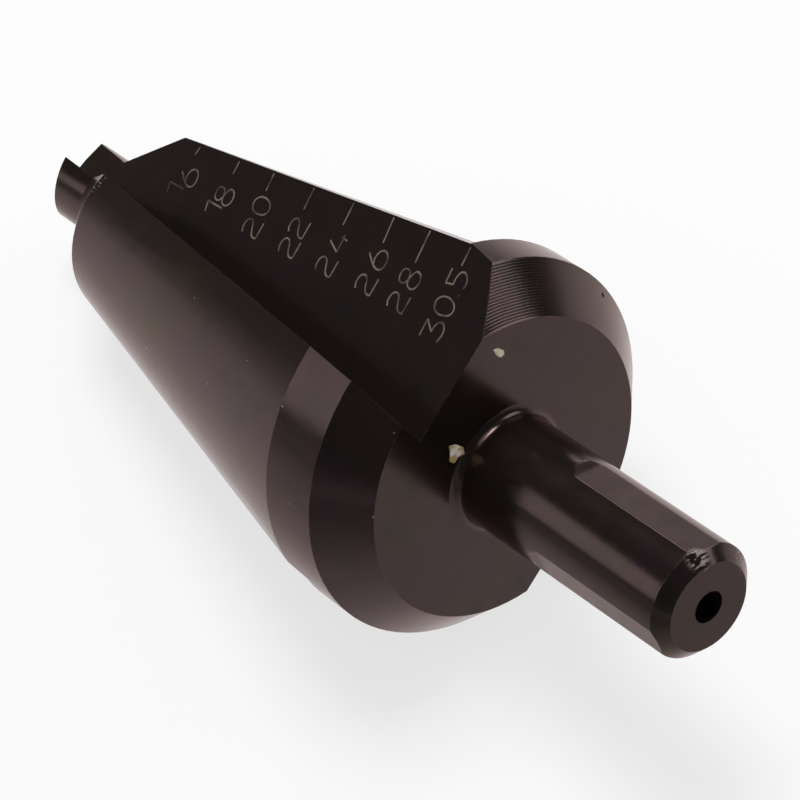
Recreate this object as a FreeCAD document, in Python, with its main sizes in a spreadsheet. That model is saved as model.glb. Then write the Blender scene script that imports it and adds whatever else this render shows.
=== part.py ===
import FreeCAD
import Part
import Sketcher
import os

# A two-flute conical drill for sheet and tube, turned and ground from one bar of steel.
# It is built along its own axis: Z runs from the end of the shank (0) to the point,
# and X is square to the floor of the first flute. The finished drill is then laid down
# on the two edges of its second flute, which is how it comes to rest on a bench.

SIZES = {
    # shank
    "shank_diameter": 9.0,
    "shank_length": 22.0,
    "shank_end_chamfer": 1.0,
    "shank_root_radius": 0.8,
    "centre_hole_diameter": 2.5,
    "centre_hole_depth": 5.0,
    "centre_hole_point_angle": 118.0,
    "flat_count": 3,
    "flat_distance": 4.28,
    "flat_length": 14.5,
    "flat_runout": 1.5,
    "flat_turn": 52.5,
    # head, from the back face to the point
    "back_face_diameter": 24.2,
    "rear_chamfer_length": 3.5,
    "largest_diameter": 30.5,
    "band_length": 5.1,
    "cone_length": 36.0,
    "cone_front_diameter": 15.8,
    "lead_length": 5.6,
    "pilot_diameter": 6.8,
    "pilot_length": 4.3,
    "point_angle": 135.0,
    "lip_relief_angle": 14.0,
    "lip_relief_depth": 0.42,
    # flutes, each a V ground along a straight path that slants in towards the point
    "flute_count": 2,
    "flute_angle": 79.0,
    "floor_height": 9.57,
    "floor_slope": 9.4,
    "rake_offset": 1.2,
    "rake_drift": 2.6,
    # a wider V in the same floor, which thins the web behind the point
    "thinning_angle": 75.0,
    "thinning_offset": -1.16,
    "thinning_drift": -0.9,
    # a flat ground along the heel of each land, from just inside the band to the point
    "heel_flat_turn": 82.0,
    "heel_flat_distance": 13.4,
    "heel_flat_slope": 8.8,
    "heel_flat_overrun": 1.9,
    # where the turned surfaces start and end: inside the first flute, so no seam crosses a land
    "seam_turn": 20.0,
    # how far a grinding tool reaches past the steel
    "tool_reach": 6.0,
    # at rest: rolled this far about its axis, with its nose this far down
    "rest_roll": 30.51,
    "rest_tilt": 9.15,
}

doc = FreeCAD.newDocument("ConeDrill")
sheet = doc.addObject("Spreadsheet::Sheet", "Sizes")
for row, (alias, number) in enumerate(SIZES.items(), start=1):
    sheet.set("A%d" % row, alias)
    sheet.set("B%d" % row, str(number))
    sheet.setAlias("B%d" % row, alias)
doc.recompute()


def total(*names):
    return "(" + " + ".join("Sizes." + name for name in names) + ")"


def half(name):
    return "Sizes." + name + " / 2"


# Stations along the axis, each a sum of the lengths before it
BACK_FACE = total("shank_length")
BAND_REAR = total("shank_length", "rear_chamfer_length")
CONE_REAR = total("shank_length", "rear_chamfer_length", "band_length")
CONE_FRONT = total("shank_length", "rear_chamfer_length", "band_length", "cone_length")
PILOT_REAR = "(" + CONE_FRONT + " + Sizes.lead_length)"
PILOT_FRONT = "(" + PILOT_REAR + " + Sizes.pilot_length)"
POINT = "(" + PILOT_FRONT + " + Sizes.pilot_diameter / 2 / tan(Sizes.point_angle / 2))"

body = doc.addObject("PartDesign::Body", "Drill")
body.Label = "cone_drill"


def origin_part(role):
    return [item for item in body.Origin.OriginFeatures if item.Role == role][0]


def sketch_on(role, name, offset=None):
    """Start a sketch on one of the body's own planes, moved by an expression if given."""
    sketch = body.newObject("Sketcher::SketchObject", name)
    sketch.AttachmentSupport = [(origin_part(role), "")]
    sketch.MapMode = "FlatFace"
    if offset:
        sketch.setExpression("AttachmentOffset", offset)
    doc.recompute()
    return sketch


def number_of(expression):
    return float(sheet.evalExpression(expression.replace("Sizes.", "")))


def draw_outline(sketch, corners):
    """Draw a closed outline of straight lines whose corners stay bound to the sheet."""
    points = [FreeCAD.Vector(number_of(x), number_of(y), 0) for x, y in corners]
    for i, point in enumerate(points):
        sketch.addGeometry(Part.LineSegment(point, points[(i + 1) % len(points)]), False)
    for i, (x, y) in enumerate(corners):
        following = (i + 1) % len(corners)
        sketch.addConstraint(Sketcher.Constraint("Coincident", i, 2, following, 1))
        for kind, coordinate, axis in (("DistanceX", x, -2), ("DistanceY", y, -1)):
            if coordinate == "0":
                sketch.addConstraint(Sketcher.Constraint("PointOnObject", i, 1, axis))
                continue
            bound = Sketcher.Constraint(kind, -1, 1, i, 1, number_of(coordinate))
            index = sketch.addConstraint(bound)
            sketch.setExpression("Constraints[%d]" % index, coordinate)
    doc.recompute()


def turned(kind, name, sketch):
    """Turn a sketch right round its own vertical axis, to add or to cut."""
    feature = body.newObject("PartDesign::" + kind, name)
    feature.Profile = sketch
    feature.ReferenceAxis = (sketch, ["V_Axis"])
    feature.Angle = 360
    doc.recompute()
    return feature


def ground_through(name, sketch):
    """Cut a sketch through the whole body, both ways from its plane."""
    feature = body.newObject("PartDesign::Pocket", name)
    feature.Profile = sketch
    feature.SideType = "Two sides"
    feature.Type = "ThroughAll"
    feature.Type2 = "ThroughAll"
    doc.recompute()
    return feature


def repeated(name, features, count):
    """Copy features evenly round the axis."""
    pattern = body.newObject("PartDesign::PolarPattern", name)
    pattern.Originals = features
    pattern.Axis = (origin_part("Z_Axis"), [""])
    pattern.Angle = 360
    pattern.setExpression("Occurrences", count)
    body.Tip = pattern
    doc.recompute()
    return pattern


# The turned blank: shank, flat back face, chamfer, band, cone, lead, pilot and point
blank_sketch = sketch_on(
    "XZ_Plane", "BlankOutline",
    "placement(vector(0; 0; 0); rotation(vector(0; 1; 0); Sizes.seam_turn))")
draw_outline(blank_sketch, [
    ("0", "0"),
    (half("shank_diameter") + " - Sizes.shank_end_chamfer", "0"),
    (half("shank_diameter"), "Sizes.shank_end_chamfer"),
    (half("shank_diameter"), BACK_FACE),
    (half("back_face_diameter"), BACK_FACE),
    (half("largest_diameter"), BAND_REAR),
    (half("largest_diameter"), CONE_REAR),
    (half("cone_front_diameter"), CONE_FRONT),
    (half("pilot_diameter"), PILOT_REAR),
    (half("pilot_diameter"), PILOT_FRONT),
    ("0", POINT),
])
blank = turned("Revolution", "Blank", blank_sketch)


# The small radius where the shank meets the back face
def is_shank_root(edge):
    curve = edge.Curve
    if not isinstance(curve, Part.Circle):
        return False
    at_back_face = abs(curve.Center.z - number_of(BACK_FACE)) < 1e-6
    return at_back_face and abs(curve.Radius - number_of(half("shank_diameter"))) < 1e-6


root_edges = ["Edge%d" % (i + 1) for i, edge in enumerate(blank.Shape.Edges) if is_shank_root(edge)]
shank_root = body.newObject("PartDesign::Fillet", "ShankRoot")
shank_root.Base = (blank, root_edges)
shank_root.setExpression("Radius", "Sizes.shank_root_radius")
doc.recompute()

# The centre hole in the end of the shank, with a drilled bottom
HOLE_RADIUS = half("centre_hole_diameter")
HOLE_BOTTOM = "Sizes.centre_hole_depth + " + HOLE_RADIUS + " / tan(Sizes.centre_hole_point_angle / 2)"
hole_sketch = sketch_on("XZ_Plane", "CentreHoleOutline")
draw_outline(hole_sketch, [
    ("0", "0"),
    (HOLE_RADIUS, "0"),
    (HOLE_RADIUS, "Sizes.centre_hole_depth"),
    ("0", HOLE_BOTTOM),
])
centre_hole = turned("Groove", "CentreHole", hole_sketch)

# Three shallow flats for the chuck's jaws, each running out in a short ramp
FLAT_REACH = "(" + half("shank_diameter") + " + Sizes.tool_reach)"
flat_sketch = sketch_on(
    "XZ_Plane", "FlatOutline",
    "placement(vector(0; 0; 0); rotation(vector(0; 1; 0); Sizes.flat_turn))")
draw_outline(flat_sketch, [
    ("Sizes.flat_distance", "-Sizes.tool_reach"),
    (FLAT_REACH, "-Sizes.tool_reach"),
    (FLAT_REACH, "Sizes.flat_length"),
    (half("shank_diameter"), "Sizes.flat_length"),
    ("Sizes.flat_distance", "Sizes.flat_length - Sizes.flat_runout"),
])
shank_flat = ground_through("ShankFlat", flat_sketch)
shank_flats = repeated("ShankFlats", [shank_flat], "Sizes.flat_count")


# A flute is a V: a wide floor along the sketch's Y and a rake face leaning over it
def ground_v(name, height, offset, drift, angle):
    place = "vector(" + height + "; " + offset + "; " + BACK_FACE + ")"
    turn = "rotation(vector(0; 1; 0); -Sizes.floor_slope) * rotation(vector(1; 0; 0); " + drift + ")"
    sketch = sketch_on("XY_Plane", name + "Outline", "placement(" + place + "; " + turn + ")")
    reach = "Sizes.largest_diameter"
    draw_outline(sketch, [
        ("0", "0"),
        (reach + " * sin(" + angle + ")", reach + " * cos(" + angle + ")"),
        (reach, reach),
        ("0", reach),
    ])
    return ground_through(name, sketch)


flute = ground_v("Flute", "Sizes.floor_height", "-Sizes.rake_offset", "-Sizes.rake_drift",
                 "Sizes.flute_angle")
thinning = ground_v("Thinning", "Sizes.floor_height", "-Sizes.thinning_offset",
                    "-Sizes.thinning_drift", "Sizes.thinning_angle")
flutes = repeated("Flutes", [flute, thinning], "Sizes.flute_count")

# The heel of each land is ground away in a long flat, which leans in with the cone
HEEL_REAR = "(" + CONE_REAR + " - Sizes.heel_flat_overrun)"
HEEL_REACH = "(" + half("largest_diameter") + " + Sizes.tool_reach)"


def heel_distance(station):
    return "Sizes.heel_flat_distance - tan(Sizes.heel_flat_slope) * (" + station + " - " + CONE_REAR + ")"


heel_sketch = sketch_on(
    "XZ_Plane", "HeelFlatOutline",
    "placement(vector(0; 0; 0); rotation(vector(0; 1; 0); Sizes.heel_flat_turn))")
draw_outline(heel_sketch, [
    (heel_distance(HEEL_REAR), HEEL_REAR),
    (HEEL_REACH, HEEL_REAR),
    (HEEL_REACH, POINT),
    (heel_distance(POINT), POINT),
])
heel_flat = ground_through("HeelFlat", heel_sketch)
heel_flats = repeated("HeelFlats", [heel_flat], "Sizes.flute_count")

# Relief on the end of the pilot: a facet that slopes back from each lip
lip_sketch = sketch_on(
    "XY_Plane", "LipReliefOutline",
    "placement(vector(0; 0; " + POINT + " - Sizes.lip_relief_depth);"
    " rotation(vector(0; 1; 0); 90 - Sizes.point_angle / 2)"
    " * rotation(vector(1; 0; 0); Sizes.lip_relief_angle))")
draw_outline(lip_sketch, [
    ("-Sizes.pilot_diameter", "-Sizes.pilot_diameter"),
    ("Sizes.pilot_diameter", "-Sizes.pilot_diameter"),
    ("Sizes.pilot_diameter", "Sizes.pilot_diameter"),
    ("-Sizes.pilot_diameter", "Sizes.pilot_diameter"),
])
lip_relief = body.newObject("PartDesign::Pocket", "LipRelief")
lip_relief.Profile = lip_sketch
lip_relief.Reversed = True
lip_relief.setExpression("Length", "Sizes.tool_reach")
doc.recompute()

lip_reliefs = repeated("LipReliefs", [lip_relief], "Sizes.flute_count")

# Laid down on the two edges of its second flute, with its point towards -X
rolled = FreeCAD.Rotation(FreeCAD.Vector(0, 0, 1), -number_of("Sizes.rest_roll"))
nose_down = FreeCAD.Rotation(FreeCAD.Vector(0, 1, 0), -90 - number_of("Sizes.rest_tilt"))
body.Placement = FreeCAD.Placement(FreeCAD.Vector(0, 0, 0), nose_down * rolled)
box = body.Shape.optimalBoundingBox()
lift = FreeCAD.Vector(-box.Center.x, -box.Center.y, -box.ZMin)
body.Placement = FreeCAD.Placement(lift, nose_down * rolled)
doc.recompute()

failed = [item.Name for item in doc.Objects if {"Invalid", "Error"} & set(item.State)]
if failed:
    raise RuntimeError("failed: " + ", ".join(failed))
if body.Shape.isNull() or not body.Shape.isValid() or len(body.Shape.Solids) != 1:
    raise RuntimeError("the drill is not one valid solid")
print("volume mm3", round(body.Shape.Volume, 2), "box", body.Shape.optimalBoundingBox())
for step in (blank, shank_root, centre_hole, shank_flats, flutes, heel_flats, lip_reliefs):
    print(step.Name, round(step.Shape.Volume, 2), "faces", len(step.Shape.Faces))

os.makedirs("parts", exist_ok=True)
body.Shape.exportStep("parts/" + body.Label + ".step")
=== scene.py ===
# %% [markdown]
# # A conical drill for sheet and tube
#
# The real object is one bar of high speed steel. A lathe turns it to a plain shank, a wide
# head with a cylindrical band, a long cone and a short pilot point. A grinder then cuts two
# straight V flutes, a flat along each heel and the small facets of the point. The finished
# steel is steam-treated, which leaves it nearly black, and a scale of diameters is burnt
# into one flute.
#
# The frame holds the solid model of all that. This lesson gives it edges that catch the
# light, the skin of treated steel, the scale, and the marks of its making and its use.

# %% Load the frame
import math
import bmesh
import bpy
from mathutils import Matrix, Vector


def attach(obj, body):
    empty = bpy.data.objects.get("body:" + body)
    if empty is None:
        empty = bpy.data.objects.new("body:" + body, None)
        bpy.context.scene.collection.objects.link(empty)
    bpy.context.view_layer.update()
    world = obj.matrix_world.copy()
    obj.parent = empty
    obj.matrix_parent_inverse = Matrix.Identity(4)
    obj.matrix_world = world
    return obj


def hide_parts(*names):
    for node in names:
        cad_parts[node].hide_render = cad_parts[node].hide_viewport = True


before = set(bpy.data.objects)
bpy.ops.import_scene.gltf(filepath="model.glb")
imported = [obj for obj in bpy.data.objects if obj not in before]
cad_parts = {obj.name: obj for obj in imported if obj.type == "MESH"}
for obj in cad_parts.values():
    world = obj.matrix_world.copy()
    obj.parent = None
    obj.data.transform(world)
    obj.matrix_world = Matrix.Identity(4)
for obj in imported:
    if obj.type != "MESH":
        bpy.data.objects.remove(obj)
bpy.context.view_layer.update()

# %% [markdown]
# ## The drill's own directions
#
# The drill lies on a bench with its point lower than its shank, so its axis is not one of
# the frame's axes. Everything that is easy to say about a drill is said along its axis:
# how far from the end of the shank, how far from the axis, and how far round. One matrix
# carries those directions into the frame, and its inverse brings a point of the frame back.

# %% The drill's directions
MM = 0.001
REST_ROLL = 30.51
REST_TILT = 9.15
SHANK_END = Vector((38.02296, 0.0, 18.12046)) * MM

nose_down = Matrix.Rotation(math.radians(-90 - REST_TILT), 4, "Y")
rolled = Matrix.Rotation(math.radians(-REST_ROLL), 4, "Z")
DRILL = Matrix.Translation(SHANK_END) @ nose_down @ rolled


def on_axis(station):
    """A point on the drill's axis, in the frame, so many millimetres from the shank's end."""
    return DRILL @ Vector((0, 0, station * MM))


print("point of the drill in mm:", [round(c * 1000, 2) for c in on_axis(77.6)])

# %% [markdown]
# ## Shader helpers
#
# A procedural finish is a small graph of nodes. These helpers add a node and join it in one
# line, so that the cells below read like the sums they stand for.


# %% Shader helpers
def new_material(name):
    """A node material with nothing in it but its output."""
    material = bpy.data.materials.new(name)
    material.use_nodes = True
    material.node_tree.nodes.clear()
    return material


def add(tree, kind, inputs=None, **settings):
    """Add a node, set its properties, and join or set its inputs."""
    node = tree.nodes.new(kind)
    for key, value in settings.items():
        setattr(node, key, value)
    for key, value in (inputs or {}).items():
        if isinstance(value, bpy.types.NodeSocket):
            tree.links.new(value, node.inputs[key])
        else:
            node.inputs[key].default_value = value
    return node


def sum_of(tree, operation, *values, clamp=False):
    """One sum on plain numbers or sockets, and its result."""
    inputs = {i: value for i, value in enumerate(values)}
    return add(tree, "ShaderNodeMath", inputs, operation=operation, use_clamp=clamp).outputs[0]


def smooth_step(tree, value, low, high):
    """0 below low, 1 above high and an even slope between, for low above high too."""
    inputs = {"Value": value, "From Min": low, "From Max": high}
    return add(tree, "ShaderNodeMapRange", inputs, interpolation_type="SMOOTHSTEP").outputs[0]


def blended(tree, share, first, second):
    """A mix of two colours."""
    node = add(tree, "ShaderNodeMix", data_type="RGBA")
    for key, value in ((0, share), (6, first), (7, second)):
        if isinstance(value, bpy.types.NodeSocket):
            tree.links.new(value, node.inputs[key])
        else:
            node.inputs[key].default_value = value
    return node.outputs[2]


# %% [markdown]
# ## Places on the drill, as numbers a shader can use
#
# Turned marks run round the axis and ground marks run along it, so the finish needs the
# station, the radius and the angle of each point. They come from Object coordinates, moved
# and turned by a Mapping node into the drill's own directions, in millimetres.


# %% Places on the drill
def drill_places(tree):
    """Sockets for the place in mm, the station, the radius and the angle in degrees."""
    coordinates = add(tree, "ShaderNodeTexCoord").outputs["Object"]
    inverse = DRILL.inverted()
    mapping = add(tree, "ShaderNodeMapping", {"Vector": coordinates}, vector_type="POINT")
    mapping.inputs["Location"].default_value = inverse.to_translation() / MM
    mapping.inputs["Rotation"].default_value = inverse.to_euler("XYZ")
    mapping.inputs["Scale"].default_value = (1 / MM, 1 / MM, 1 / MM)
    place = mapping.outputs[0]
    split = add(tree, "ShaderNodeSeparateXYZ", {0: place})
    across, up, station = split.outputs
    radius = sum_of(tree, "SQRT", sum_of(tree, "ADD", sum_of(tree, "MULTIPLY", across, across),
                                         sum_of(tree, "MULTIPLY", up, up)))
    turn = sum_of(tree, "DEGREES", sum_of(tree, "ARCTAN2", up, across))
    return {"place": place, "station": station, "radius": radius, "turn": turn}


# %% [markdown]
# ## The skin of steam-treated steel
#
# The brown-black skin is thin and hard and keeps the marks of the lathe and the grinder
# beneath it. It is a metal that mirrors little of what it faces and nearly all of what
# grazes it, which is why the drill is almost black towards you and pale along its sides.
# A warm edge tint keeps that paleness from looking like chrome. A small matt part, like
# that of any oxide, keeps its darkest places brown and not black, and steel that is rubbed
# bare is finely scratched and so more matt still. The skin is never one colour: it drifts
# between a plum and an olive brown, so two soft noises mix them.

# %% The colour of the skin
PLUM_BROWN = (0.086, 0.055, 0.060, 1)
OLIVE_BROWN = (0.083, 0.061, 0.049, 1)
COLD_BLACK = (0.056, 0.050, 0.049, 1)
BARE_STEEL = (0.36, 0.31, 0.27, 1)
# Black of painted shade, for the grooves of the chamfer's rings and for the pit.
HOLLOW_SHADE_BLACK = (0.012, 0.010, 0.009, 1)
WARM_EDGE = (1.0, 0.87, 0.85, 1)


def skin_colour(tree, at):
    """Drifting browns with colder patches."""
    clouds = add(tree, "ShaderNodeTexNoise", {"Vector": at["place"], "Scale": 0.11, "Detail": 2.0})
    colour = blended(tree, smooth_step(tree, clouds.outputs[0], 0.38, 0.66), PLUM_BROWN, OLIVE_BROWN)
    patches = add(tree, "ShaderNodeTexNoise", {"Vector": at["place"], "Scale": 0.35, "Detail": 5.0})
    cold = smooth_step(tree, patches.outputs[0], 0.50, 0.75)
    return blended(tree, sum_of(tree, "MULTIPLY", cold, 0.6), colour, COLD_BLACK)


# %% [markdown]
# ## Marks of the lathe and the grinder
#
# The rear chamfer was turned with a coarse feed and still shows some twenty fine rings,
# six to a millimetre. They run all round, but they are drawn strongest on one side, where
# the light shows them. Everything else that was turned has only a whisper of a feed. The
# flats on the shank were ground along the shank, which leaves long broken streaks. All of
# these are heights in millimetres, so they add up and one Bump node reads the sum. The
# grooves of the rings also carry painted shade: the colour darkens in them, most on the lit
# side. The rings stay on the chamfer's own cone, which the taper and the foot describe, and
# don't run over the floor of the flute beside it.

# %% Relief of the skin
CHAMFER_RING_PITCH = 0.168
CHAMFER_RING_HEIGHT = 0.0055
CHAMFER_TAPER = 0.9
CHAMFER_FOOT = 12.1 - 22.0 * CHAMFER_TAPER
# Turns of the chamfer where the light shows its rings; the rings and their painted shade are strongest there.
LIT_SIDE_FROM = 15.0
LIT_SIDE_TO = 68.0
FLAT_RADIUS = 4.46
FLAT_END = 15.6
FEED_HEIGHT = 0.0006
STREAK_HEIGHT = 0.008
GRAIN_HEIGHT = 0.0009


def between(tree, value, low, high, soft):
    """1 where the value lies between two limits, with soft ends."""
    above = smooth_step(tree, value, low - soft, low + soft)
    below = smooth_step(tree, value, high + soft, high - soft)
    return sum_of(tree, "MULTIPLY", above, below)


def ground_flat(tree, at):
    """1 on the flats of the shank, which lie nearer the axis than its round wall."""
    on_shank = between(tree, at["station"], 1.0, FLAT_END, 0.05)
    inside = between(tree, at["radius"], 3.4, FLAT_RADIUS, 0.015)
    return sum_of(tree, "MULTIPLY", on_shank, inside)


def chamfer_rings(tree, at):
    """A wave from -1 to 1 across the rings of the rear chamfer, faint away from the lit side."""
    rings = sum_of(tree, "SINE", sum_of(tree, "MULTIPLY", at["station"], 2 * math.pi / CHAMFER_RING_PITCH))
    cone = sum_of(tree, "SUBTRACT", at["radius"], sum_of(tree, "MULTIPLY", at["station"], CHAMFER_TAPER))
    on_chamfer = sum_of(tree, "MULTIPLY", between(tree, at["station"], 22.1, 25.4, 0.08),
                        smooth_step(tree, cone, CHAMFER_FOOT - 0.25, CHAMFER_FOOT - 0.1))
    lit_side = between(tree, at["turn"], LIT_SIDE_FROM, LIT_SIDE_TO, 7.0)
    lit_side = sum_of(tree, "ADD", 0.06, sum_of(tree, "MULTIPLY", lit_side, 0.94))
    return sum_of(tree, "MULTIPLY", sum_of(tree, "MULTIPLY", rings, on_chamfer), lit_side)


def skin_height(tree, at):
    """The height of the skin's relief in millimetres."""
    rings = sum_of(tree, "MULTIPLY", chamfer_rings(tree, at), CHAMFER_RING_HEIGHT)
    feed = add(tree, "ShaderNodeTexNoise", {"W": at["station"], "Scale": 4.0, "Detail": 1.0},
               noise_dimensions="1D")
    feed = sum_of(tree, "MULTIPLY", feed.outputs[0], FEED_HEIGHT)
    stretched = add(tree, "ShaderNodeVectorMath", {0: at["place"], 1: (6.0, 6.0, 0.35)},
                    operation="MULTIPLY")
    streaks = add(tree, "ShaderNodeTexNoise", {"Vector": stretched.outputs[0], "Scale": 1.0, "Detail": 2.0})
    streaks = sum_of(tree, "MULTIPLY", streaks.outputs[0], ground_flat(tree, at))
    streaks = sum_of(tree, "MULTIPLY", streaks, STREAK_HEIGHT)
    grain = add(tree, "ShaderNodeTexNoise", {"Vector": at["place"], "Scale": 2.6, "Detail": 1.0})
    grain = sum_of(tree, "MULTIPLY", grain.outputs[0], GRAIN_HEIGHT)
    return sum_of(tree, "ADD", sum_of(tree, "ADD", rings, feed), sum_of(tree, "ADD", streaks, grain))


# %% [markdown]
# ## Knocks, scuffs and a pit
#
# The drill has been handled. The rim of its shank is scuffed on one side, the corner where
# the cone meets the point has been knocked, and the rear chamfer has one small dark pit.
# Each is a soft ball round a place on the drill; in a scuffed one, a stretched noise
# cuts the ball into scratches. The pit is no hollow in the mesh: its shade is painted, as
# a matt black spot.


# %% Knocks, scuffs and a pit
def ball(tree, at, centre, radius):
    """1 at a place on the drill, falling to 0 at a radius from it."""
    away = add(tree, "ShaderNodeVectorMath", {0: at["place"], 1: centre}, operation="DISTANCE")
    return smooth_step(tree, away.outputs["Value"], radius, radius * 0.35)


def scratched(tree, at, centre, radius, stretch, cover):
    """Scratches inside a ball: a stretched noise with only its peaks kept."""
    stretched = add(tree, "ShaderNodeVectorMath", {0: at["place"], 1: stretch}, operation="MULTIPLY")
    noise = add(tree, "ShaderNodeTexNoise", {"Vector": stretched.outputs[0], "Scale": 1.0, "Detail": 3.0})
    peaks = smooth_step(tree, noise.outputs[0], cover, cover + 0.07)
    return sum_of(tree, "MULTIPLY", peaks, ball(tree, at, centre, radius))


SCUFFS = (
    ((3.2, 2.6, 0.6), 1.2, (1.5, 1.5, 5.0), 0.48),
    ((-1.0, 4.2, 0.6), 1.4, (5.0, 2.0, 4.0), 0.55),
    ((7.7, 1.1, 66.6), 1.3, (0.9, 9.0, 1.1), 0.57),
)
PIT = ((-2.46, 14.39, 24.78), 0.30)
METAL_SHARE = 0.88
BARE_MATT = 0.55
SMOOTHEST = 0.13
ROUGHEST = 0.23
GROUND_ROUGHER = 0.10
BARE_ROUGHER = 0.25
# How far the painted shade darkens the grooves of the chamfer's rings.
GROOVE_SHADE_SHARE = 0.85


def steel_skin(name, wear):
    """The whole finish of the drill's surface; wear is the share of it that is bright."""
    material = new_material(name)
    tree = material.node_tree
    at = drill_places(tree)
    colour = skin_colour(tree, at)
    bright = 0.0
    for centre, radius, stretch, cover in SCUFFS:
        bright = sum_of(tree, "MAXIMUM", bright, scratched(tree, at, centre, radius, stretch, cover))
    if wear > 0:
        worn = add(tree, "ShaderNodeTexNoise", {"Vector": at["place"], "Scale": 0.9, "Detail": 4.0})
        rubbed = smooth_step(tree, worn.outputs[0], 0.72 - wear * 0.45, 0.86 - wear * 0.45)
        bright = sum_of(tree, "MAXIMUM", bright, rubbed)
    colour = blended(tree, bright, colour, BARE_STEEL)
    # Painted shade: the grooves of the chamfer's rings are darkened, most on the lit side.
    groove_shade = smooth_step(tree, chamfer_rings(tree, at), 0.15, -0.55)
    colour = blended(tree, sum_of(tree, "MULTIPLY", groove_shade, GROOVE_SHADE_SHARE), colour, HOLLOW_SHADE_BLACK)
    blotches = add(tree, "ShaderNodeTexNoise", {"Vector": at["place"], "Scale": 0.6, "Detail": 3.0})
    roughness = add(tree, "ShaderNodeMapRange", {
        "Value": blotches.outputs[0], "To Min": SMOOTHEST, "To Max": ROUGHEST}).outputs[0]
    ground = sum_of(tree, "MULTIPLY", ground_flat(tree, at), GROUND_ROUGHER)
    roughness = sum_of(tree, "ADD", roughness, ground)
    roughness = sum_of(tree, "ADD", roughness, sum_of(tree, "MULTIPLY", bright, BARE_ROUGHER))
    metallic = sum_of(tree, "SUBTRACT", METAL_SHARE, sum_of(tree, "MULTIPLY", bright, BARE_MATT))
    bump = add(tree, "ShaderNodeBump", {"Height": skin_height(tree, at), "Strength": 1.0, "Distance": MM})
    shader = add(tree, "ShaderNodeBsdfPrincipled", {
        "Base Color": colour, "Metallic": metallic, "Roughness": roughness, "Specular Tint": WARM_EDGE,
        "Normal": bump.outputs[0]})
    # Painted shade of the pit: a matt black spot where the pit would be hollow.
    pit_shade = add(tree, "ShaderNodeBsdfDiffuse", {"Color": HOLLOW_SHADE_BLACK})
    pitted = add(tree, "ShaderNodeMixShader", {
        0: ball(tree, at, *PIT), 1: shader.outputs[0], 2: pit_shade.outputs[0]})
    output = add(tree, "ShaderNodeOutputMaterial")
    tree.links.new(pitted.outputs[0], output.inputs[0])
    return material


steam_treated = steel_skin("steam_treated_steel", 0.0)
worn_edge = steel_skin("worn_edge_steel", 0.7)
print("skin nodes:", len(steam_treated.node_tree.nodes))

# %% [markdown]
# ## The drill itself
#
# A ground edge is never a perfect corner: it has a narrow rounding that catches the light.
# The solid in the frame has true corners, so this piece is a copy of it with every corner
# rounded. The rounding asks for a tenth of a millimetre. The clamp that stops roundings
# from overlapping holds all of them to what the shortest edge of the mesh allows, which is
# only some thousandths. The copy is merged first, because the frame's mesh is loose
# triangles, and flat faces are made whole so that the rounding runs clean. The roundings
# take a second finish, on which the skin is rubbed through here and there.
#
# The edge between the cone and the band is blunt, so an angle alone wouldn't find it, and
# it is named by its place.

# %% The drill itself
EDGE_ROUNDING = 0.10 * MM
SHARP = math.radians(16)
CONE_STARTS = 30.6
CONE_ENDS = 66.6


def along_axis(point):
    """How far a point of the frame is from the shank's end, along the axis, in millimetres."""
    return (DRILL.inverted() @ point).z / MM


def is_corner(edge):
    """True for a sharp edge, and for the blunt one between the cone and the band."""
    if not edge.is_manifold:
        return False
    stations = [along_axis(vertex.co) for vertex in edge.verts]
    on_rim = any(all(abs(s - rim) < 0.02 for s in stations) for rim in (CONE_STARTS, CONE_ENDS))
    return edge.calc_face_angle() > SHARP or (on_rim and edge.calc_face_angle() > math.radians(8))


shape = bmesh.new()
shape.from_mesh(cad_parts["cone_drill"].data)
bmesh.ops.remove_doubles(shape, verts=shape.verts, dist=0.0005 * MM)
bmesh.ops.dissolve_limit(shape, angle_limit=math.radians(0.05), verts=shape.verts, edges=shape.edges)
for face in shape.faces:
    face.material_index = 0
corners = [edge for edge in shape.edges if is_corner(edge)]
bmesh.ops.bevel(shape, geom=corners, offset=EDGE_ROUNDING, segments=2, profile=0.5,
                affect="EDGES", clamp_overlap=True, material=1)
bmesh.ops.triangulate(shape, faces=[face for face in shape.faces if len(face.verts) > 4])
drill_mesh = bpy.data.meshes.new("drill_body")
shape.to_mesh(drill_mesh)
shape.free()
drill_mesh.materials.append(steam_treated)
drill_mesh.materials.append(worn_edge)
print("rounded edges:", len(corners), "faces:", len(drill_mesh.polygons))

# %% [markdown]
# ## Normals that a mirror can trust
#
# A mirror-like skin shows every false bend, so no face may borrow its direction from a
# rounding beside it. At each of its corners a face takes the mean direction of the large
# faces there that turn from it by only a few degrees: a flat keeps one direction right up
# to its edge, and a cone stays smooth. The roundings take theirs from the face they touch.

# %% True normals
SAME_SURFACE = math.radians(12)
SAME_CORNER = math.radians(65)


def mean_direction(faces, facing, limit):
    """The mean direction of the faces that turn from this one by less than the limit."""
    near = [face for face in faces if face.normal.angle(facing.normal, math.pi) < limit]
    total = sum((face.normal * face.area for face in near), Vector())
    return total.normalized() if total.length > 0 else None


def true_normals(mesh):
    """One direction for every corner of every face."""
    large = [[] for vertex in mesh.vertices]
    small = [[] for vertex in mesh.vertices]
    for polygon in mesh.polygons:
        for vertex in polygon.vertices:
            (small if polygon.material_index else large)[vertex].append(polygon)
    normals = []
    for polygon in mesh.polygons:
        limit = SAME_CORNER if polygon.material_index else SAME_SURFACE
        for vertex in polygon.vertices:
            direction = mean_direction(large[vertex], polygon, limit)
            direction = direction or mean_direction(small[vertex], polygon, SAME_CORNER)
            normals.append(direction or polygon.normal.copy())
    return normals


for polygon in drill_mesh.polygons:
    polygon.use_smooth = True
drill_mesh.normals_split_custom_set(true_normals(drill_mesh))

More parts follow.
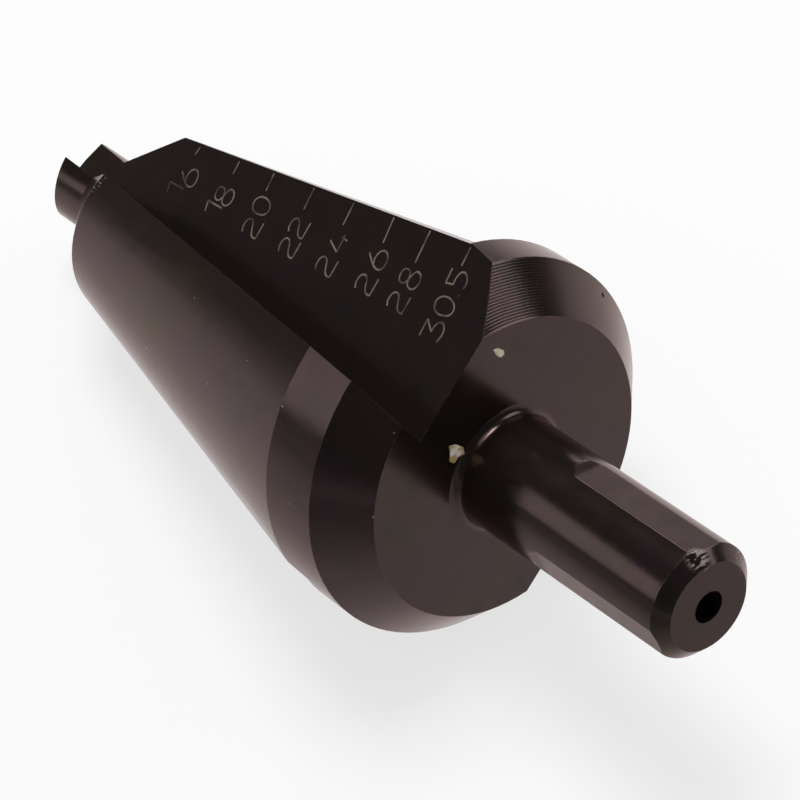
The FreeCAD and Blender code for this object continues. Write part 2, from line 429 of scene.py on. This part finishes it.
drill_body = bpy.data.objects.new("drill_body", drill_mesh)
bpy.context.scene.collection.objects.link(drill_body)
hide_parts("cone_drill")
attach(drill_body, "root")
print("corners with a direction:", len(drill_mesh.loops))

# %% [markdown]
# ## The floor of the flute, where the scale goes
#
# The scale is burnt into the flat floor of the upper flute. Each line of it is drawn as on
# paper, in millimetres: x across the floor towards the heel, which is the way the numbers
# read, and y along the floor from the back face towards the point, which is up for them.
# One matrix then lays the paper on the steel.

# %% The floor of the flute
FLOOR_HEIGHT = 9.57
FLOOR_SLOPE = math.radians(9.4)
BACK_FACE = 22.0

across = Vector((0, 1, 0))
along = Vector((-math.sin(FLOOR_SLOPE), 0, math.cos(FLOOR_SLOPE)))
outward = across.cross(along)
paper = Matrix((across, along, outward)).transposed().to_4x4()
FLOOR = DRILL @ Matrix.Scale(MM, 4) @ Matrix.Translation((FLOOR_HEIGHT, 0, BACK_FACE)) @ paper
print("floor faces:", [round(c, 3) for c in DRILL.to_3x3() @ outward])

# %% [markdown]
# ## The numbers, one stroke at a time
#
# A marking machine writes with one line, so each digit is a path or two and not an
# outline. The paths are written here in units of two millimetres with x to the right and
# y up. The machine drew round shapes as smooth curves and lifted its tool at corners, so
# a digit with a corner has more than one path.

# %% Strokes of the digits
STROKE_UNIT = 2.0
DIGITS = {
    "0": [[(0.14, 1.09), (0.38, 1.17), (0.60, 0.99), (0.69, 0.62), (0.61, 0.22), (0.37, 0.02),
           (0.13, 0.14), (0.01, 0.50), (0.01, 0.86), (0.14, 1.09), (0.30, 1.17)]],
    "1": [[(0.00, 0.86), (0.42, 1.05)], [(0.42, 1.05), (0.46, 0.00)]],
    "2": [[(0.00, 0.98), (0.18, 1.11), (0.44, 1.10), (0.58, 0.97), (0.59, 0.79), (0.48, 0.63),
           (0.27, 0.50), (0.10, 0.36), (0.03, 0.18), (0.05, 0.00)], [(0.05, 0.00), (0.74, 0.03)]],
    "3": [[(0.00, 1.11), (0.65, 1.18)], [(0.65, 1.18), (0.34, 0.63)],
          [(0.34, 0.63), (0.59, 0.62), (0.78, 0.49), (0.81, 0.27), (0.68, 0.08), (0.43, 0.00), (0.14, 0.07)]],
    "4": [[(0.25, 0.92), (0.00, 0.20)], [(0.00, 0.20), (0.74, 0.28)], [(0.59, 0.42), (0.57, 0.00)]],
    "5": [[(0.58, 1.16), (0.00, 1.07)], [(0.00, 1.07), (0.09, 0.65)],
          [(0.09, 0.65), (0.38, 0.68), (0.61, 0.59), (0.67, 0.37), (0.55, 0.13), (0.36, 0.01), (0.15, 0.01)]],
    "6": [[(0.36, 1.19), (0.09, 0.70), (0.00, 0.42), (0.01, 0.17), (0.15, 0.01), (0.39, 0.00), (0.62, 0.12),
           (0.72, 0.35), (0.66, 0.58), (0.48, 0.71), (0.26, 0.72), (0.09, 0.62)]],
    "8": [[(0.34, 0.66), (0.53, 0.80), (0.57, 0.99), (0.52, 1.15), (0.36, 1.22), (0.14, 1.17), (0.03, 1.00),
           (0.05, 0.80), (0.22, 0.67), (0.50, 0.58), (0.67, 0.44), (0.65, 0.18), (0.43, 0.01), (0.16, 0.04),
           (0.01, 0.24), (0.04, 0.50), (0.20, 0.63), (0.34, 0.66)]],
    ".": [[(0.00, 0.05), (0.02, 0.00)]],
}
print("digits drawn:", " ".join(sorted(DIGITS)))

# %% [markdown]
# ## Where each number and mark stands
#
# Each mark stands where the cone has the diameter that its number names, so the marks
# keep the taper of the drill, and the last one is on the band. The marks grow longer with
# the diameter. The digits were not set out quite evenly, so each has a place of its own:
# the middle of its box, as x and y on the floor.

# %% The layout of the scale
DIGIT_PLACES = {
    "16": ((3.62, 42.74), (5.22, 41.90)),
    "18": ((4.10, 36.85), (5.52, 36.35)),
    "20": ((4.72, 30.95), (6.46, 31.35)),
    "22": ((5.07, 25.55), (6.73, 25.78)),
    "24": ((5.49, 20.30), (7.45, 20.55)),
    "26": ((6.05, 14.95), (8.06, 15.35)),
    "28": ((6.27, 10.55), (8.14, 10.78)),
    "30.5": ((5.90, 5.35), (7.82, 5.63), (9.02, 4.85), (9.95, 5.98)),
}
# each mark from its outer end at the heel to its inner end
MARKS = {
    "16": ((7.62, 42.67), (6.87, 42.74)),
    "18": ((8.40, 36.99), (7.29, 36.87)),
    "20": ((9.10, 32.17), (7.61, 31.89)),
    "22": ((9.82, 26.67), (8.08, 26.41)),
    "24": ((10.50, 21.36), (8.69, 21.11)),
    "26": ((11.25, 16.21), (9.21, 15.74)),
    "28": ((11.85, 11.63), (9.27, 11.21)),
    "30.5": ((12.40, 6.58), (10.92, 6.38)),
}


def digit_paths(digit, middle):
    """The strokes of one digit, in millimetres on the floor, round the middle of its box."""
    spots = [spot for stroke in DIGITS[digit] for spot in stroke]
    middle_x = (min(x for x, y in spots) + max(x for x, y in spots)) / 2
    middle_y = (min(y for x, y in spots) + max(y for x, y in spots)) / 2
    return [[(middle[0] + (x - middle_x) * STROKE_UNIT, middle[1] + (y - middle_y) * STROKE_UNIT)
             for x, y in stroke] for stroke in DIGITS[digit]]


scale_paths = [list(mark) for mark in MARKS.values()]
for number, places in DIGIT_PLACES.items():
    for digit, middle in zip(number, places):
        scale_paths += digit_paths(digit, middle)
print("strokes in the scale:", len(scale_paths))

# %% [markdown]
# ## Paths into thin lines
#
# Geometry Nodes draw a smooth curve through the points of every path and sweep a low,
# wide section along it, so a line shows as a pale stripe with almost no height, as a
# burnt line does. The curves' normals are held upright, off the paper, so the section
# never twists. One tree serves the whole scale.


# %% A tree that sweeps a flat line
def flat_line_tree():
    """Geometry Nodes: smooth the paths, sweep a low, wide section and give it a material."""
    tree = bpy.data.node_groups.new("flat_line", "GeometryNodeTree")
    tree.interface.new_socket("Geometry", in_out="INPUT", socket_type="NodeSocketGeometry")
    for name in ("Width", "Height"):
        tree.interface.new_socket(name, in_out="INPUT", socket_type="NodeSocketFloat")
    tree.interface.new_socket("Finish", in_out="INPUT", socket_type="NodeSocketMaterial")
    tree.interface.new_socket("Geometry", in_out="OUTPUT", socket_type="NodeSocketGeometry")
    entry = add(tree, "NodeGroupInput")
    smooth = add(tree, "GeometryNodeCurveSplineType", {"Curve": entry.outputs["Geometry"]},
                 spline_type="CATMULL_ROM")
    fine = add(tree, "GeometryNodeSetSplineResolution", {0: smooth.outputs[0], "Resolution": 4})
    upright = add(tree, "GeometryNodeSetCurveNormal", {"Curve": fine.outputs[0]}, mode="Z_UP")
    section = add(tree, "GeometryNodeCurvePrimitiveCircle", {"Resolution": 6, "Radius": 0.5})
    size = add(tree, "ShaderNodeCombineXYZ", {0: entry.outputs["Width"], 1: entry.outputs["Height"], 2: 1.0})
    flattened = add(tree, "GeometryNodeTransform", {0: section.outputs[0], "Scale": size.outputs[0]})
    swept = add(tree, "GeometryNodeCurveToMesh", {
        "Curve": upright.outputs[0], "Profile Curve": flattened.outputs[0], "Fill Caps": True})
    real = add(tree, "GeometryNodeRealizeInstances", {0: swept.outputs[0]})
    finished = add(tree, "GeometryNodeSetMaterial", {0: real.outputs[0], "Material": entry.outputs["Finish"]})
    leave = add(tree, "NodeGroupOutput")
    tree.links.new(finished.outputs[0], leave.inputs[0])
    return tree


def set_inputs(modifier, values):
    """Set a Geometry Nodes modifier's inputs by their socket identifiers."""
    for item in modifier.node_group.interface.items_tree:
        if item.item_type == "SOCKET" and item.in_out == "INPUT" and item.name in values:
            modifier[item.identifier] = values[item.name]


def plain_piece(name, source, tree, place, values):
    """Run a tree on an object, lay the result in its place and let it ride on the drill."""
    modifier = source.modifiers.new("nodes", "NODES")
    modifier.node_group = tree
    set_inputs(modifier, values)
    bpy.context.view_layer.update()
    evaluated = source.evaluated_get(bpy.context.evaluated_depsgraph_get())
    mesh = bpy.data.meshes.new_from_object(evaluated)
    mesh.name = name
    mesh.transform(place)
    source.modifiers.remove(modifier)
    bpy.data.objects.remove(source)
    piece = bpy.data.objects.new(name, mesh)
    bpy.context.scene.collection.objects.link(piece)
    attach(piece, "root")
    return piece


line_tree = flat_line_tree()
print("line tree nodes:", len(line_tree.nodes))

# %% [markdown]
# ## The finish of the burnt lines
#
# Burning the skin away leaves pale, rough steel, warmer than the metal round it and never
# quite even. The noise makes some stretches faint, as they are on the real one. The
# first digit, nearest the point, is almost worn away, so the lines darken towards it.


# %% The finish of the burnt lines
WORN_AWAY = ((2.59, 3.62, 64.17), 2.3)


def burnt_line_finish(name, pale, dark):
    """A matt, pale, uneven line."""
    material = new_material(name)
    tree = material.node_tree
    at = drill_places(tree)
    uneven = add(tree, "ShaderNodeTexNoise", {"Vector": at["place"], "Scale": 0.8, "Detail": 3.0})
    share = smooth_step(tree, uneven.outputs[0], 0.30, 0.58)
    kept = sum_of(tree, "SUBTRACT", 1.0, ball(tree, at, *WORN_AWAY))
    share = sum_of(tree, "MULTIPLY", share, kept)
    shader = add(tree, "ShaderNodeBsdfPrincipled", {
        "Base Color": blended(tree, share, dark, pale), "Metallic": 0.0, "Roughness": 0.75})
    output = add(tree, "ShaderNodeOutputMaterial")
    tree.links.new(shader.outputs[0], output.inputs[0])
    return material


scale_finish = burnt_line_finish("burnt_scale", (0.17, 0.135, 0.105, 1), (0.030, 0.024, 0.022, 1))


# %% The scale
def path_object(name, paths):
    """A curve object on the paper, with one path for each list of points."""
    curve = bpy.data.curves.new(name, "CURVE")
    curve.dimensions = "3D"
    for path in paths:
        spline = curve.splines.new("POLY")
        spline.points.add(len(path) - 1)
        for point, spot in zip(spline.points, path):
            point.co = (*spot, 0.0, 1)
    source = bpy.data.objects.new(name, curve)
    bpy.context.scene.collection.objects.link(source)
    return source


LINE_SIZES = {"Width": 0.17, "Height": 0.03, "Finish": scale_finish}
scale_source = path_object("scale_paths", scale_paths)
scale_lines = plain_piece("scale_lines", scale_source, line_tree, FLOOR, LINE_SIZES)
print("scale faces:", len(scale_lines.data.polygons))

# %% [markdown]
# ## Chips and flecks
#
# Two small chips of something pale stick to the back face, and a few bright flecks
# smaller than a grain of salt lie on the cone, the band and the chamfer. The chips are thin
# plates with their own outlines. The flecks are one faceted grain, set on points by
# Geometry Nodes with a fixed seed for the way each one is turned.

# %% The chips
CHIPS = {
    "tan_chip": [(6.67, -0.44), (6.11, -0.11), (5.25, -0.05), (4.74, -0.38), (5.19, -0.82), (5.21, -1.39),
                 (5.74, -1.43), (6.16, -0.88)],
    "yellow_chip": [(8.01, 7.09), (7.73, 7.36), (7.02, 7.43), (6.75, 7.16), (6.95, 6.85), (7.56, 6.86)],
}
CHIP_THICKNESS = 0.1


def chip_finish(name, pale, dark, scale):
    """Dull, chalky, of two colours that meet in patches."""
    material = new_material(name)
    tree = material.node_tree
    at = drill_places(tree)
    patches = add(tree, "ShaderNodeTexNoise", {"Vector": at["place"], "Scale": scale, "Detail": 2.0})
    share = smooth_step(tree, patches.outputs[0], 0.44, 0.54)
    bump = add(tree, "ShaderNodeBump", {"Height": patches.outputs[0], "Strength": 0.5, "Distance": 0.1 * MM})
    shader = add(tree, "ShaderNodeBsdfPrincipled", {
        "Base Color": blended(tree, share, pale, dark), "Roughness": 0.7, "Normal": bump.outputs[0]})
    output = add(tree, "ShaderNodeOutputMaterial")
    tree.links.new(shader.outputs[0], output.inputs[0])
    return material


def chip(name, outline, material):
    """A thin plate with a slightly smaller top, stuck to the back face."""
    middle = sum((Vector(spot) for spot in outline), Vector((0, 0))) / len(outline)
    plate = bmesh.new()
    rims = []
    for share, station in ((1.0, BACK_FACE + 0.01), (0.86, BACK_FACE - CHIP_THICKNESS)):
        spots = [middle + (Vector(spot) - middle) * share for spot in outline]
        rims.append([plate.verts.new(DRILL @ (Vector((*spot, station)) * MM)) for spot in spots])
    count = len(outline)
    for i in range(count):
        j = (i + 1) % count
        plate.faces.new((rims[0][i], rims[0][j], rims[1][j], rims[1][i]))
    plate.faces.new(rims[1])
    plate.faces.new(list(reversed(rims[0])))
    bmesh.ops.recalc_face_normals(plate, faces=plate.faces)
    mesh = bpy.data.meshes.new(name)
    plate.to_mesh(mesh)
    plate.free()
    mesh.materials.append(material)
    piece = bpy.data.objects.new(name, mesh)
    bpy.context.scene.collection.objects.link(piece)
    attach(piece, "root")
    return piece


tan_finish = chip_finish("chalky_tan", (0.80, 0.74, 0.66, 1), (0.50, 0.33, 0.15, 1), 1.1)
yellow_finish = chip_finish("chalky_yellow", (0.78, 0.74, 0.52, 1), (0.66, 0.60, 0.34, 1), 1.5)
chip("tan_chip", CHIPS["tan_chip"], tan_finish)
chip("yellow_chip", CHIPS["yellow_chip"], yellow_finish)
print("chips:", len(CHIPS))

# %% The flecks
# station, radius and angle of each fleck, in millimetres and degrees
FLECKS = ((22.21, 12.28, 353.3), (22.05, 12.15, 322.3), (36.74, 14.00, 347.2), (41.05, 13.12, 330.9),
          (27.71, 15.25, 319.4), (30.4, 15.25, 344.0), (46.5, 12.0, 352.0), (52.0, 10.88, 318.0))


def fleck_tree():
    """Geometry Nodes: a faceted grain on every point, each turned its own way."""
    tree = bpy.data.node_groups.new("flecks", "GeometryNodeTree")
    tree.interface.new_socket("Geometry", in_out="INPUT", socket_type="NodeSocketGeometry")
    for name in ("Smallest", "Largest"):
        tree.interface.new_socket(name, in_out="INPUT", socket_type="NodeSocketFloat")
    tree.interface.new_socket("Finish", in_out="INPUT", socket_type="NodeSocketMaterial")
    tree.interface.new_socket("Geometry", in_out="OUTPUT", socket_type="NodeSocketGeometry")
    entry = add(tree, "NodeGroupInput")
    points = add(tree, "GeometryNodeMeshToPoints", {0: entry.outputs["Geometry"]})
    grain = add(tree, "GeometryNodeMeshIcoSphere", {"Radius": 1.0, "Subdivisions": 1})
    turn = add(tree, "FunctionNodeRandomValue", data_type="FLOAT_VECTOR")
    turn.inputs[1].default_value = (math.tau, math.tau, math.tau)
    turn.inputs["Seed"].default_value = 3
    size = add(tree, "FunctionNodeRandomValue", data_type="FLOAT")
    tree.links.new(entry.outputs["Smallest"], size.inputs[2])
    tree.links.new(entry.outputs["Largest"], size.inputs[3])
    size.inputs["Seed"].default_value = 8
    turned = add(tree, "FunctionNodeEulerToRotation", {0: turn.outputs[0]})
    placed = add(tree, "GeometryNodeInstanceOnPoints", {
        "Points": points.outputs[0], "Instance": grain.outputs[0], "Rotation": turned.outputs[0],
        "Scale": size.outputs[1]})
    real = add(tree, "GeometryNodeRealizeInstances", {0: placed.outputs[0]})
    finished = add(tree, "GeometryNodeSetMaterial", {0: real.outputs[0], "Material": entry.outputs["Finish"]})
    leave = add(tree, "NodeGroupOutput")
    tree.links.new(finished.outputs[0], leave.inputs[0])
    return tree


fleck_points = bpy.data.meshes.new("fleck_points")
fleck_points.from_pydata([(r * math.cos(math.radians(a)), r * math.sin(math.radians(a)), s)
                          for s, r, a in FLECKS], [], [])
fleck_source = bpy.data.objects.new("fleck_points", fleck_points)
bpy.context.scene.collection.objects.link(fleck_source)
fleck_finish = chip_finish("pale_fleck", (0.62, 0.56, 0.48, 1), (0.36, 0.30, 0.24, 1), 3.0)
flecks = plain_piece("flecks", fleck_source, fleck_tree(), DRILL @ Matrix.Scale(MM, 4),
                     {"Smallest": 0.03, "Largest": 0.06, "Finish": fleck_finish})
print("fleck faces:", len(flecks.data.polygons))

# %% [markdown]
# ## Floor and light
#
# The drill lies on a plain pale table, and the table is what the lower half of the steel
# mirrors. A lamp high behind the drill lights it evenly. In a mirror the table carries
# painted shade: it is bright behind the drill and grows darker towards the camera and
# towards its far edge, where a real one falls into the shade of the room. Two soft boxes,
# one to each side, give the narrow highlights on the band, the shank and the rear chamfer,
# and a small one low down lights the flat of the shank. Dark cards stand round the table
# and keep the rest of the steel black; the camera doesn't see them.


# %% The table
def stage_object(name, mesh, material):
    """A mesh that belongs to the studio and not to the drill."""
    mesh.materials.append(material)
    studio_object = bpy.data.objects.new(name, mesh)
    bpy.context.scene.collection.objects.link(studio_object)
    return studio_object


def ramp(tree, value, low, high, stops):
    """A curve through (value, brightness) stops, as a socket."""
    place = sum_of(tree, "DIVIDE", sum_of(tree, "SUBTRACT", value, low), high - low, clamp=True)
    node = add(tree, "ShaderNodeValToRGB", {0: place})
    elements = node.color_ramp.elements
    while len(elements) < len(stops):
        elements.new(0.5)
    for element, (spot, brightness) in zip(elements, stops):
        element.position = (spot - low) / (high - low)
        element.color = (brightness, brightness, brightness, 1)
    return node.outputs[0]


TOWARDS_CAMERA = (math.cos(math.radians(-50)), math.sin(math.radians(-50)), 0)
MIRRORED_TABLE_SHADE = ((-0.06, 1.0), (0.0, 0.84), (0.02, 0.70), (0.036, 0.56), (0.055, 0.34), (0.11, 0.22))
FAR_TABLE_SHADE = ((0.03, 1.0), (0.10, 0.85), (0.3, 0.65), (0.6, 0.5))
TABLE_OWN_WHITE = 0.72


def table_finish():
    """Matt white to the lamps, mostly its own white to the eye, and painted with shade in a mirror."""
    material = new_material("table_top")
    tree = material.node_tree
    coordinates = add(tree, "ShaderNodeTexCoord").outputs["Object"]
    towards = add(tree, "ShaderNodeVectorMath", {0: coordinates, 1: TOWARDS_CAMERA}, operation="DOT_PRODUCT")
    away = add(tree, "ShaderNodeVectorMath", {0: coordinates}, operation="LENGTH")
    # Painted shade on the table as the steel mirrors it: darker towards the camera and far off.
    mirrored_shade = sum_of(tree, "MULTIPLY", ramp(tree, towards.outputs["Value"], -0.06, 0.11, MIRRORED_TABLE_SHADE),
                    ramp(tree, away.outputs["Value"], 0.03, 0.6, FAR_TABLE_SHADE))
    path = add(tree, "ShaderNodeLightPath").outputs
    mirrored = sum_of(tree, "MAXIMUM", path["Is Glossy Ray"], path["Is Transmission Ray"])
    matt = add(tree, "ShaderNodeBsdfPrincipled", {"Base Color": (0.88, 0.88, 0.88, 1), "Roughness": 0.9,
                                                  "Specular IOR Level": 0.0})
    white = add(tree, "ShaderNodeEmission", {"Strength": 1.0})
    own = sum_of(tree, "MULTIPLY", path["Is Camera Ray"], TABLE_OWN_WHITE)
    seen = add(tree, "ShaderNodeMixShader", {0: own, 1: matt.outputs[0], 2: white.outputs[0]})
    shaded = add(tree, "ShaderNodeEmission", {"Strength": mirrored_shade})
    mixed = add(tree, "ShaderNodeMixShader", {0: mirrored, 1: seen.outputs[0], 2: shaded.outputs[0]})
    output = add(tree, "ShaderNodeOutputMaterial")
    tree.links.new(mixed.outputs[0], output.inputs[0])
    return material


table_mesh = bpy.data.meshes.new("table")
table_mesh.from_pydata([(-3, -3, 0), (3, -3, 0), (3, 3, 0), (-3, 3, 0)], [], [(0, 1, 2, 3)])
table = stage_object("table", table_mesh, table_finish())

# %% The dark cards
CARD_SHADE = ((0.0, 0.42), (0.05, 0.22), (0.11, 0.08), (0.2, 0.055))


def card_finish():
    """A dark glow that is lighter at the foot, where the table's light reaches it."""
    material = new_material("dark_card")
    tree = material.node_tree
    coordinates = add(tree, "ShaderNodeTexCoord").outputs["Object"]
    height = add(tree, "ShaderNodeSeparateXYZ", {0: coordinates}).outputs["Z"]
    shader = add(tree, "ShaderNodeEmission", {"Strength": ramp(tree, height, 0.0, 0.2, CARD_SHADE)})
    output = add(tree, "ShaderNodeOutputMaterial")
    tree.links.new(shader.outputs[0], output.inputs[0])
    return material


CARD_DISTANCE = 0.6
CARD_TOP = 1.7
CARD_COUNT = 24
card_turns = [math.tau * i / CARD_COUNT for i in range(CARD_COUNT)]
card_points = [(math.cos(a) * CARD_DISTANCE, math.sin(a) * CARD_DISTANCE, z)
               for a in card_turns for z in (0.002, CARD_TOP)]
card_faces = [(2 * i, (2 * i + 2) % (2 * CARD_COUNT), (2 * i + 3) % (2 * CARD_COUNT), 2 * i + 1)
              for i in range(CARD_COUNT)]
card_mesh = bpy.data.meshes.new("dark_cards")
card_mesh.from_pydata(card_points, [], card_faces)
dark_cards = stage_object("dark_cards", card_mesh, card_finish())
dark_cards.visible_camera = False
dark_cards.visible_diffuse = False
dark_cards.visible_shadow = False
dark_cards.visible_transmission = False


# %% The lamps
def soft_box(name, target, azimuth, elevation, distance, width, height, brightness):
    """A rectangular lamp that faces a point and has the brightness given."""
    a, e = math.radians(azimuth), math.radians(elevation)
    direction = Vector((math.cos(e) * math.cos(a), math.cos(e) * math.sin(a), math.sin(e)))
    lamp = bpy.data.lights.new(name, "AREA")
    lamp.shape = "RECTANGLE"
    lamp.size = width
    lamp.size_y = height
    lamp.energy = brightness * math.pi * width * height
    box = bpy.data.objects.new(name, lamp)
    box.location = Vector(target) + direction * distance
    box.rotation_euler = direction.to_track_quat("Z", "Y").to_euler()
    bpy.context.scene.collection.objects.link(box)
    return box


MIDDLE = (0.0, 0.0, 0.012)
soft_box("overhead", MIDDLE, 145, 70, 0.9, 0.42, 0.42, 11.0)
soft_box("left_box", MIDDLE, -139, 23, 0.45, 0.22, 0.19, 1.0)
soft_box("right_box", MIDDLE, 66, 33, 0.45, 0.17, 0.22, 2.1)
soft_box("shank_box", (0.031, 0.0016, 0.021), 131, 9, 0.25, 0.05, 0.035, 1.6)

# %% [markdown]
# ## The room
#
# Past the table there is only white. Light Path lets the camera and the mirrored rays see
# that white, while the room lights the object only a little.

# %% The room
ROOM_LIGHT = 0.3

world = bpy.data.worlds.new("room")
bpy.context.scene.world = world
world.use_nodes = True
room = world.node_tree
room.nodes.clear()
path = add(room, "ShaderNodeLightPath").outputs
seen = sum_of(room, "MAXIMUM", path["Is Camera Ray"], path["Is Glossy Ray"])
seen = sum_of(room, "MAXIMUM", seen, path["Is Transmission Ray"])
strength = sum_of(room, "ADD", ROOM_LIGHT, sum_of(room, "MULTIPLY", seen, 1 - ROOM_LIGHT))
background = add(room, "ShaderNodeBackground", {"Color": (1, 1, 1, 1), "Strength": strength})
room_output = add(room, "ShaderNodeOutputWorld")
room.links.new(background.outputs[0], room_output.inputs[0])

# %% [markdown]
# ## The camera
#
# The camera stands behind the shank and looks down on the drill, turned a little about its
# own view. A long lens keeps the shank from looming. Its place was found by matching the
# edges of the drill to the photograph.

# %% The camera
camera_data = bpy.data.cameras.new("camera")
camera_data.lens = 170.253
camera_data.sensor_width = 36
camera_data.clip_start = 0.01
camera_data.clip_end = 20
camera = bpy.data.objects.new("camera", camera_data)
camera.location = Vector((159.8638, -92.9587, 229.8242)) * MM
camera.rotation_euler = [math.radians(angle) for angle in (39.0935, 8.2970, 49.1322)]
bpy.context.scene.collection.objects.link(camera)
bpy.context.scene.camera = camera
bpy.context.scene.view_settings.view_transform = "Standard"
